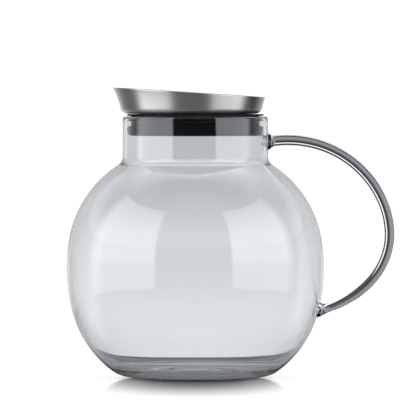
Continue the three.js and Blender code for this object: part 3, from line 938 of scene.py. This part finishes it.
# Strap of the flap: a rounded strip that leaves the disc, dips under the pin and rolls round it.
def strapGrid():
    v = flapValues
    level = pinZ - v["pinRise"] + v["sheet"] / 2
    edge = flapLow.x + 2 * flapHigh.y
    leave = edge - v["tuck"]
    lapX = np.linspace(edge - v["lap"], leave, v["lapRows"])
    lap = np.stack([lapX, np.full_like(lapX, level)], -1)
    dipX = np.linspace(leave, pinX, v["dipRows"] + 1)[1:]
    dip = np.stack([dipX, level + (pinZ - v["roll"] - level) * smoothStep(leave, pinX, dipX)], -1)
    turn = np.linspace(-np.pi / 2, v["rollEnd"], v["rollRows"] + 1)[1:]
    roll = np.stack([pinX + v["roll"] * np.cos(turn), pinZ + v["roll"] * np.sin(turn)], -1)
    path = np.concatenate([lap, dip, roll])
    tangent = np.gradient(path, axis=0)
    tangent /= np.linalg.norm(tangent, axis=1, keepdims=True)
    across = np.stack([-tangent[:, 1], tangent[:, 0]], -1)
    half, thick = v["strapHalf"], v["strap"] / 2
    section = roundedRectangle((-half, -thick), (half, thick), v["strapRound"])
    flat = path[:, None] + across[:, None] * section[None, :, 1:]
    y = np.broadcast_to(section[:, 0], flat.shape[:2])
    return capped(np.stack([flat[..., 0], y, flat[..., 1]], -1))


flapGrid = lathe(flapSection(), flapValues["columns"], (flapLow.x + flapHigh.y, 0))
disc = surfacePiece("flapRaw", [flapGrid], flapSteel)
strap = surfacePiece("strapRaw", [strapGrid()], flapSteel)
flap = combined("pourFlap", disc, strap, "UNION", flapSteel, 35)
fitPiece(flap, "flap", "polished_steel", "pour_flap")

bracketLow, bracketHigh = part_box("hinge_bracket")
bracketValues = {
    "sheet": 0.0009,
    "edge": 0.00015,
    "ear": 0.0021,
    "earDrop": 0.0007,
    "cornerRound": 0.0002,
    "stepRound": (0.0005, 0.0008),  # at the foot and under the ear's head
    "roundSteps": 9,
    "footGap": 0.0024,
    "footRound": 0.0003,
    "bore": 0.0012,
    "boreColumns": 32,
    "rivet": (0.0013, 0.0005, 0.004),  # radius, height and distance from the middle
    "rivetRows": 7,
    "rivetColumns": 24,
}


# Ears of the bracket: two upright plates with round heads.
def earGrids():
    v = bracketValues
    low, high, sheet, ear = bracketLow, bracketHigh, v["sheet"], v["ear"]
    outline = roundedOutline([
        (low.x, low.z, v["cornerRound"]), (high.x, low.z, v["cornerRound"]),
        (high.x, low.z + sheet, v["stepRound"][0]), (pinX + ear, pinZ - v["earDrop"], v["stepRound"][1]),
        (pinX + ear, high.z, ear), (low.x, high.z, ear)], v["roundSteps"])
    sides = ((high.y - sheet, high.y), (low.y, low.y + sheet))
    return [plateGrid(outline, near, far, v["edge"])[..., [0, 2, 1]] for near, far in sides]


# Foot of the bracket: a flat plate between the ears, and the two domed rivets that stand in it.
def footGrids():
    v = bracketValues
    back, half, top = pinX + v["footGap"], bracketHigh.y - v["sheet"] / 2, bracketLow.z + v["sheet"]
    outline = roundedRectangle((back, -half), (bracketHigh.x, half), v["footRound"])
    wide, tall, apart = v["rivet"]
    over = np.linspace(0, np.pi / 2, v["rivetRows"])
    dome = np.stack([wide * np.cos(over), top + tall * np.sin(over)], -1)
    rivet = np.concatenate([[(0, top - tall), (wide, top - tall)], dome])
    middle = (back + bracketHigh.x) / 2
    rivets = [lathe(rivet, v["rivetColumns"], (middle, side)) for side in (-apart, apart)]
    return plateGrid(outline, bracketLow.z, top, v["edge"]), rivets


# A profile of (radius, place along Y) turned about the hinge's axis.
def hingeLathe(profile, columns):
    turned = lathe(np.asarray(profile), columns)
    return turned[..., [0, 2, 1]] + [pinX, 0, pinZ]


# Plug for the pin's bore: a straight cylinder that reaches past both ears.
def boreGrid():
    radius, reach = bracketValues["bore"], 2 * bracketHigh.y
    profile = [(0, -reach), (radius, -reach), (radius, reach), (0, reach)]
    return hingeLathe(profile, bracketValues["boreColumns"])


foot, rivets = footGrids()
footPlate = surfacePiece("footRaw", [foot], satinSteel)
raised = surfacePiece("earsRaw", earGrids() + rivets, satinSteel)
bracket = combined("bracketRaw", footPlate, raised, "UNION", satinSteel)
bore = surfacePiece("boreRaw", [boreGrid()], satinSteel)
bracket = combined("hingeBracket", bracket, bore, "DIFFERENCE", satinSteel, 35)
fitPiece(bracket, "lid", "polished_steel", "hinge_bracket")

pinValues = {"shank": 0.0009, "head": 0.0008, "headRows": 8, "columns": 32}


# Pin: a straight shank between two domed heads.
def pinSection():
    v = pinValues
    wide, end = (pinHigh.x - pinLow.x) / 2, pinHigh.y
    over = np.linspace(0, np.pi / 2, v["headRows"])
    dome = np.stack([wide * np.sin(over), end - v["head"] * (1 - np.cos(over))], -1)
    half = np.concatenate([dome, [(v["shank"], end - v["head"])]])
    return np.concatenate([half * [1, -1], half[::-1]])


pin = surfacePiece("hingePin", [hingeLathe(pinSection(), pinValues["columns"])], satinSteel, 50)
fitPiece(pin, "lid", "polished_steel", "hinge_pin")

# Tones are (share, tone) stops over the distance from the axis, but for glow, edgeGlow and rodGlow,
# which run away from the middle line to both sides, and bare, which runs from front to back.
stageValues = {
    "radius": 0.32,
    "drop": 0.0002,
    "columns": 96,
    "tone": (0.05, 0.05, 0.051, 1),
    "white": 1.05,
    # painted shadow: the white table is darker round the foot
    "contactShadow": ((0, 0.45), (0.11, 0.5), (0.14, 0.75), (0.18, 0.93), (0.22, 1), (1, 1)),
    "shade": (0.05, 0.085),
    # painted shade: the foot's mirror image is tinted darker near the foot
    "mirrorShade": ((0, 0.12), (0.5, 0.15), (0.62, 0.38), (0.74, 0.42), (1, 0.96)),
    "mirrorRoughness": 0.08,
    "mirrorReach": (0.08, 0.28),
    "mirrorFade": (0.3, 1.1),
    "mirrorGraze": (0.84, 0.95),
    # painted shade: the table mirrored in steel is dim, darkest at the foot
    "dim": ((0, 0.02), (0.35, 0.03), (0.7, 0.13), (1, 0.22)),
    "bare": ((0, 0.05), (0.17, 0.05), (0.21, 0.6), (0.45, 0.6), (0.55, 0.45), (1, 0.5)),
    # painted shadow: the table mirrored in glass is dark near the foot
    "bareFootShade": ((0, 0.06), (0.2, 0.06), (0.32, 0.6), (0.42, 1), (1, 1)),
    # painted shadow: seen through glass, the table is near black under the foot
    "glow": ((0, 0.01), (0.1, 0.04), (0.14, 0.25), (0.25, 0.195), (0.36, 0.135), (0.48, 0.125),
             (0.5, 0.9), (1, 0.9)),
    "glowBend": -6.0,
    "glowTint": (0.985, 1.0, 1.022),
    "glowGraze": (0.66, 0.86),
    "edgeGlow": ((0, 0.05), (0.2, 0.07), (0.4, 0.22), (0.7, 0.45), (1, 0.5)),
    "rodGlow": ((0, 0.05), (0.26, 0.05), (0.31, 1.2), (0.46, 1.2), (0.54, 0.06), (1, 0.06)),
    # painted shadow under the foot, for rays that meet the table steeply
    "steepGlow": ((0, 0.24), (0.14, 0.18), (0.2, 0.42), (0.3, 0.72), (0.6, 0.8), (1, 0.8)),
    # painted light: the table is lighter beside the pitcher
    "sideLift": (0.035, 0.09, 0.38),
    "bounced": 0.5,
    # painted caustic light: faint rings round the foot
    "rings": {"Scale": 12.0, "Distortion": 3.0, "Detail": 2.0, "Detail Scale": 0.6},
    "paintedCausticLift": ((0, 0), (0.08, 0.05), (0.14, 0.24), (0.2, 0.36), (0.4, 0.08), (1, 0)),
}


# The table as the camera sees it: white, with a painted soft shadow at the foot, and the foot's mirror image
# tinted darker near the foot as painted shade
def tableShown(tree, v, place, away, tilt):
    # painted shadow: the white is darker round the foot
    white = addNode(tree, "ShaderNodeEmission", {"Strength": v["white"]},
                    {"Color": toneRamp(tree, away, v["contactShadow"], "EASE")})
    # painted shade: the mirror's tint is darkest near the foot
    mirrorShade = toneRamp(tree, addOval(tree, place, v["shade"]), v["mirrorShade"])
    mirror = addNode(tree, "ShaderNodeBsdfGlossy", {"Roughness": v["mirrorRoughness"]},
                     {"Color": mirrorShade})
    near = addShare(tree, addOval(tree, place, v["mirrorReach"]), v["mirrorFade"], (1.0, 0.0))
    share = addMath(tree, "MULTIPLY", near, addShare(tree, tilt, v["mirrorGraze"]))
    mixed = addNode(tree, "ShaderNodeMixShader", links={0: share, 1: white.outputs[0], 2: mirror.outputs[0]})
    return mixed.outputs[0]


# The table as glass shows it, in painted tones: faint rings of painted caustic light at the foot, painted
# lighter sides, a painted shadow under the foot, and own tones for rays that bounced, that met one wall
# only, that come steeply from above, and that went through the rod
def tableGlow(tree, v, place, away, tilt, ray):
    x, y = addNode(tree, "ShaderNodeSeparateXYZ", links={0: place}).outputs[:2]
    bend = addMath(tree, "MULTIPLY", addMath(tree, "MULTIPLY", x, x), v["glowBend"])
    reach = addMath(tree, "SUBTRACT", addMath(tree, "ABSOLUTE", y), bend)
    reach = addMath(tree, "DIVIDE", reach, v["radius"])
    rings = addNode(tree, "ShaderNodeTexWave", v["rings"], {"Vector": place},
                    wave_type="RINGS", rings_direction="Z")
    # painted caustic light: rings added round the foot
    under = addMath(tree, "MULTIPLY", rings.outputs[1], toneRamp(tree, away, v["paintedCausticLift"]))
    glow = addMix(tree, 1.0, toneRamp(tree, reach, v["glow"]), under, "ADD")
    near, far, lift = v["sideLift"]
    # painted light on both sides of the pitcher
    side = addShare(tree, addMath(tree, "ABSOLUTE", x), (near, far), (0.0, lift))
    glow = addMix(tree, 1.0, glow, side, "LIGHTEN")
    glow = addMix(tree, moreThan(tree, ray["Glossy Depth"], 0), glow, addScale(tree, glow, v["bounced"]))
    edge = toneRamp(tree, reach, v["edgeGlow"])
    glow = addMix(tree, moreThan(tree, ray["Transmission Depth"], 2), edge, glow)
    # painted shadow under the foot for steep rays
    steep = toneRamp(tree, away, v["steepGlow"], "EASE")
    glow = addMix(tree, addShare(tree, tilt, v["glowGraze"]), steep, glow)
    glow = addMix(tree, ray["Is Singular Ray"], toneRamp(tree, reach, v["rodGlow"]), glow)
    return addTint(tree, glow, v["glowTint"])


# The table as mirrored, in painted tones: dim on steel and darkest at the foot as painted shade, and on
# glass by its depth and the distance from the foot, with a painted shadow near the foot
def tableMirrored(tree, v, place, away, ray):
    depth = addNode(tree, "ShaderNodeSeparateXYZ", links={0: place}).outputs[1]
    bare = toneRamp(tree, addShare(tree, depth, (-v["radius"], v["radius"]), even=True), v["bare"])
    # painted shadow near the foot on the table mirrored in glass
    bare = addProduct(tree, bare, toneRamp(tree, away, v["bareFootShade"]))
    return addMix(tree, ray["Is Singular Ray"], toneRamp(tree, away, v["dim"]), bare)


def tableMaterial(v):
    material, tree, out = newMaterial("paleTable")
    place = addNode(tree, "ShaderNodeTexCoord").outputs["Object"]
    ray = addNode(tree, "ShaderNodeLightPath").outputs
    tilt = addNode(tree, "ShaderNodeLayerWeight", {"Blend": 0.5}).outputs["Facing"]  # 1 along the table
    away = addOval(tree, place, (v["radius"], v["radius"]))
    shown = tableShown(tree, v, place, away, tilt)
    mirrored = tableMirrored(tree, v, place, away, ray)
    tone = addMix(tree, ray["Is Transmission Ray"], mirrored, tableGlow(tree, v, place, away, tilt, ray))
    plain = addNode(tree, "ShaderNodeBsdfPrincipled",
                    {"Base Color": v["tone"], "Specular IOR Level": 0.0, "Emission Strength": 1.0},
                    {"Emission Color": tone})
    mixed = addNode(tree, "ShaderNodeMixShader",
                    links={0: ray["Is Camera Ray"], 1: plain.outputs[0], 2: shown})
    tree.links.new(mixed.outputs[0], out.inputs["Surface"])
    return material


# A round table just under the foot
def studioTable(v):
    turn = fullTurn(v["columns"])
    x, y = v["radius"] * np.cos(turn), v["radius"] * np.sin(turn)
    edge = np.stack([x, y, np.full_like(turn, -v["drop"])], -1)
    mesh = bpy.data.meshes.new("studioTable")
    mesh.from_pydata(edge.tolist(), [], [list(range(v["columns"]))])
    mesh.materials.append(tableMaterial(v))
    table = bpy.data.objects.new("studioTable", mesh)
    bpy.context.scene.collection.objects.link(table)


# Tones are (share, tone) stops. Those named Turn run once round the axis, starting behind the pitcher,
# rod runs across the rod's middle, and the rest run up the walls.
shellValues = {
    "radius": 1.4,
    "low": -0.7,
    "high": 2.1,
    "columns": 64,
    "softbox": (4.6, 4.78, 5.05),
    "softboxTurn": ((0, 0), (0.2, 0), (0.235, 1), (0.398, 1), (0.406, 0),
                    (0.586, 0), (0.594, 0.95), (0.745, 0.95), (0.775, 0), (1, 0)),
    "softboxRise": ((0, 0), (0.171, 0), (0.182, 0.5), (0.27, 0.68), (0.3, 1.03), (0.5, 0.9),
                    (0.64, 0.75), (0.82, 0.5), (0.83, 0), (1, 0)),
    "steelBox": (4.8, 4.82, 4.86),
    "steelBoxTurn": ((0, 0), (0.236, 0), (0.25, 0.88), (0.404, 0.88), (0.414, 0),
                     (0.588, 0), (0.598, 0.71), (0.748, 0.71), (0.765, 0), (1, 0)),
    "steelBoxRise": ((0, 0.28), (0.1, 0.28), (0.2, 0.34), (0.28, 0.45), (0.5, 0.38), (0.64, 0.25),
                     (0.82, 0.12), (0.83, 0), (1, 0)),
    "wallTurn": ((0, 1.1), (0.06, 0.8), (0.12, 0.24), (0.16, 0.2), (0.18, 0.14),
                 (0.76, 0.14), (0.79, 0.04), (0.845, 0.04), (0.88, 0.3), (0.92, 0.5), (1, 1.1)),
    "wallRise": ((0, 0.7), (0.25, 0.8), (0.3, 1.1), (0.5, 1.25), (1, 1.2)),
    "clearTurn": ((0, 0.6), (0.06, 0.65), (0.11, 0.95), (0.17, 0.5), (0.205, 0.3), (0.25, 0.02),
                  (0.73, 0.02), (0.785, 0.3), (0.83, 0.5), (0.89, 0.95), (0.94, 0.65), (1, 0.6)),
    "clearRise": ((0, 0.3), (0.165, 0.3), (0.185, 0.6), (0.27, 0.75), (0.3, 1), (0.46, 1),
                  (0.6, 0.55), (0.8, 1.3), (1, 3.0)),
    "edgeTurn": ((0, 0.85), (0.07, 0.95), (0.11, 0), (0.89, 0), (0.93, 0.95), (1, 0.85)),
    "edgeRise": ((0, 0.3), (0.2, 0.45), (0.24, 1), (0.275, 1), (0.3, 0.2), (0.33, 0), (1, 0)),
    "clearFloor": ((0, 0.6), (0.13, 0.5), (0.2, 0.1), (0.24, 0), (1, 0)),
    "through": ((0, 0.92), (0.235, 0.92), (0.258, 0.86), (0.276, 0.79), (0.292, 0.65),
                (0.33, 0.6), (1, 0.5)),
    "throughSide": (0.11, 0.15, 0.25),
    "throughFade": (0.2, 0.258),
    "thick": (0.2, 0.2, 0.2, 1),
    "bouncedTurn": ((0, 1), (0.08, 1), (0.14, 0.8), (0.22, 0.5), (0.3, 0.15), (0.7, 0.15),
                    (0.78, 0.5), (0.86, 0.8), (0.92, 1), (1, 1)),
    "bouncedRise": ((0, 0.3), (0.1, 0.6), (0.16, 0.95), (0.3, 0.9), (0.5, 0.6), (1, 0.3)),
    "often": 0.03,
    "inner": ((0, 0.08), (0.24, 0.1), (0.27, 0.25), (0.31, 0.6), (0.35, 0.3), (0.4, 0.65), (0.45, 0.25),
              (0.52, 0.45), (1, 0.1)),
    "rodMiddle": (0.06, 0.09, math.radians(15)),  # place of the middle, and lean of the line across it
    "rod": ((0, 0.3), (0.46, 0.3), (0.52, 0.14), (0.57, 0.06), (0.68, 0.05), (0.695, 1.2), (0.77, 1.2),
            (0.79, 0.06), (1, 0.05)),
}


# Tone of the walls through the rod, by the distance from the rod's middle: grey on its inner side,
# and dark with one bright band on its outer side
def rodTone(tree, v, x, z):
    rightwards, upwards, lean = v["rodMiddle"]
    offset = addMath(tree, "SUBTRACT", x, rightwards), addMath(tree, "SUBTRACT", z, upwards)
    outwards = addPairs(tree, offset, (math.cos(lean), math.sin(lean)))
    apart = addMath(tree, "SQRT", addPairs(tree, offset, offset))
    beyond = addMath(tree, "MULTIPLY", apart, addMath(tree, "SIGN", outwards))
    return toneRamp(tree, addShare(tree, beyond, (-v["radius"], v["radius"]), even=True), v["rod"])


# Tone of the walls straight through the blown glass: bright, fading upwards, lighter beside the pitcher,
# and grey where the ray went through more than two walls
def throughTone(tree, v, x, height, ray):
    near, far, gain = v["throughSide"]
    side = addShare(tree, addMath(tree, "ABSOLUTE", x), (near, far), (0.0, gain))
    lift = addMath(tree, "MULTIPLY", side, addShare(tree, height, v["throughFade"]))
    tone = toneRamp(tree, height, v["through"], "CARDINAL")
    tone = addProduct(tree, tone, addMath(tree, "ADD", lift, 1.0))
    return addMix(tree, moreThan(tree, ray["Transmission Depth"], 4), tone, v["thick"])


# Studio walls, unseen by the camera, with a tone for each kind of ray. Mirrored, they show two softboxes,
# dark walls behind the camera and bright ones behind the pitcher. Rays that bounced inside the blown glass
# see one tone before the far wall and another past it.
def shellMaterial(v):
    material, tree, out = newMaterial("studioWalls")
    place = addNode(tree, "ShaderNodeTexCoord").outputs["Object"]
    x, y, z = addNode(tree, "ShaderNodeSeparateXYZ", links={0: place}).outputs
    ray = addNode(tree, "ShaderNodeLightPath").outputs
    turn = addMath(tree, "ARCTAN2", x, addMath(tree, "MULTIPLY", y, -1))
    turn = addShare(tree, turn, (-math.pi, math.pi), even=True)
    height = addShare(tree, z, (v["low"], v["high"]), even=True)

    def wall(name):
        sideways, up = toneRamp(tree, turn, v[name + "Turn"]), toneRamp(tree, height, v[name + "Rise"])
        return addProduct(tree, sideways, up)

    sharp = addMix(tree, 1.0, wall("clear"), wall("edge"), "LIGHTEN")
    sharp = addMix(tree, 1.0, sharp, toneRamp(tree, height, v["clearFloor"]), "LIGHTEN")
    onGlass = addMix(tree, 1.0, sharp, addTint(tree, wall("softbox"), v["softbox"]), "ADD")
    onSteel = addMix(tree, 1.0, wall("wall"), addTint(tree, wall("steelBox"), v["steelBox"]), "ADD")
    mirrored = addMix(tree, ray["Is Singular Ray"], onSteel, onGlass)
    skimmed = wall("bounced")
    faint = addScale(tree, skimmed, v["often"])
    skimmed = addMix(tree, moreThan(tree, ray["Glossy Depth"], 1), skimmed, faint)
    inner = addProduct(tree, toneRamp(tree, height, v["inner"], "EASE"), toneRamp(tree, turn, v["wallTurn"]))
    turned = addMix(tree, moreThan(tree, ray["Transmission Depth"], 2), skimmed, inner)
    bounced = moreThan(tree, addMath(tree, "ADD", ray["Glossy Depth"], ray["Diffuse Depth"]), 0)
    blown = addMix(tree, bounced, throughTone(tree, v, x, height, ray), turned)
    drawn = addMix(tree, bounced, rodTone(tree, v, x, z), sharp)
    clear = addMix(tree, ray["Is Singular Ray"], drawn, blown)
    tone = addMix(tree, ray["Is Transmission Ray"], mirrored, clear)
    glow = addNode(tree, "ShaderNodeEmission", links={"Color": tone}).outputs[0]
    unseen = addNode(tree, "ShaderNodeBsdfTransparent").outputs[0]
    mixed = addNode(tree, "ShaderNodeMixShader", links={0: ray["Is Camera Ray"], 1: glow, 2: unseen})
    tree.links.new(mixed.outputs[0], out.inputs["Surface"])
    return material


# A closed drum round the table
def studioShell(v):
    profile = np.array([(0, v["low"]), (v["radius"], v["low"]), (v["radius"], v["high"]), (0, v["high"])])
    surfacePiece("studioShell", [lathe(profile, v["columns"])], shellMaterial(v))


# White all round, seen by the camera only
def studioWorld(white):
    world = bpy.data.worlds.new("studio")
    world.use_nodes = True
    glow = world.node_tree.nodes["Background"]
    glow.inputs["Color"].default_value = (1, 1, 1, 1)
    glow.inputs["Strength"].default_value = white
    bpy.context.scene.world = world


studioTable(stageValues)
studioShell(shellValues)
studioWorld(stageValues["white"])

cameraValues = {
    "target": (0.0079, 0.0, 0.1055),
    "distance": 4.3,
    "height": 0.187,
    "frameWidth": 0.259,
    "sensor": 36,
    "farEnd": 50,
    "bounces": {"max_bounces": 32, "glossy_bounces": 24, "transmission_bounces": 32},
}


# Long lens at the side, a little above the lid: its frame has the given width at the pitcher's axis
def studioCamera(v):
    lens = bpy.data.cameras.new("camera")
    camera = bpy.data.objects.new("camera", lens)
    target = Vector(v["target"])
    camera.location = (target.x, -v["distance"], v["height"])
    camera.rotation_euler = (target - camera.location).to_track_quat("-Z", "Y").to_euler()
    lens.sensor_width = v["sensor"]
    lens.lens = v["sensor"] * (target - camera.location).length / v["frameWidth"]
    lens.clip_end = v["farEnd"]
    scene = bpy.context.scene
    scene.collection.objects.link(camera)
    scene.camera = camera
    scene.view_settings.view_transform = "Standard"
    for name, count in v["bounces"].items():
        setattr(scene.cycles, name, count)


studioCamera(cameraValues)
print("stage, lights and camera made")
